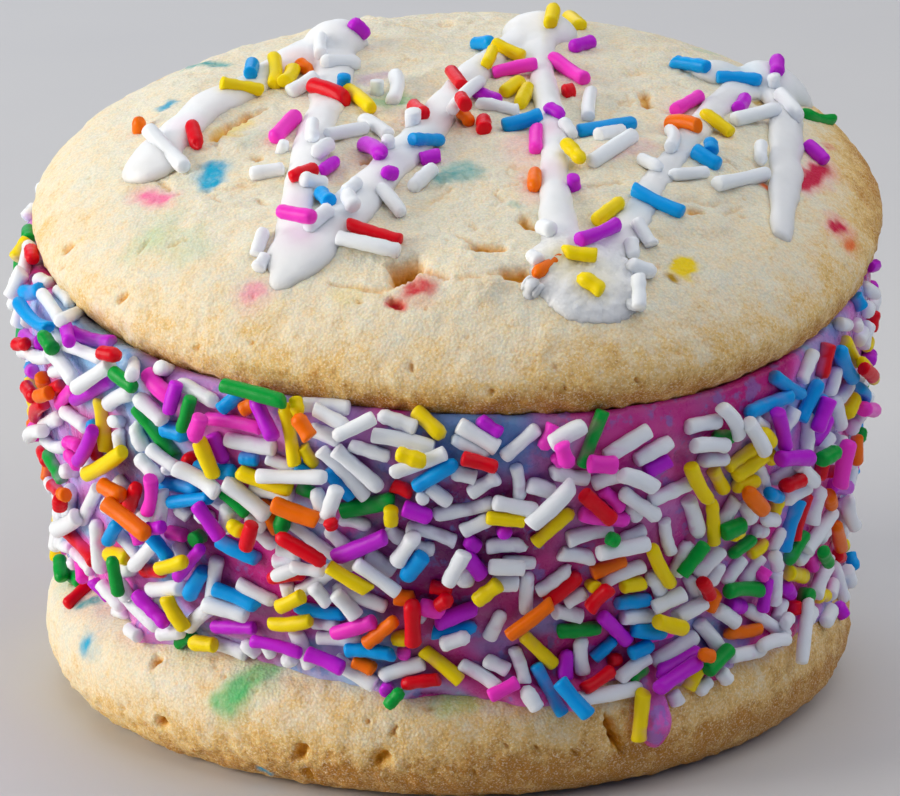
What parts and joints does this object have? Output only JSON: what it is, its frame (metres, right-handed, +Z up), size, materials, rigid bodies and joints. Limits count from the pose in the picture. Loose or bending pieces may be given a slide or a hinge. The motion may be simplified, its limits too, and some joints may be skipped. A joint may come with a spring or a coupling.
{
  "type": "cookie ice cream sandwich",
  "caption": "Thick slice of ice cream, coated with sprinkles, between soft round cookies, with zigzag icing and sprinkles on the upper cookie.",
  "frame": {"origin": "centre of the flat underside of the bottom cookie, on which the sandwich stands", "axes": "+Z up, the smallest overall extent; the front, where the top cookie leans lower, faces -Y; +X to the right seen from the front"},
  "size_m": [0.085, 0.0878, 0.0638],
  "materials": {
    "bottom_cookie": "soft baked sugar cookie, pale gold, browner towards the lower edge, fine pores, matte",
    "top_cookie": "soft baked sugar cookie, pale cream and lumpy in the middle, golden at the rim, matte",
    "ice_cream": "ice cream swirled in pink, magenta, light blue and lavender, melting and moist",
    "icing": "white piped icing, smooth, slightly translucent, satin",
    "sprinkles": "sugar sprinkle rods in white, blue, yellow, purple, pink, red, green and orange, waxy satin"
  },
  "bodies": {
    "root": {"bottom_cookie": "bottom_cookie", "ice_cream": "ice_cream", "top_cookie": "top_cookie", "icing": "icing"}
  },
  "joints": []
}
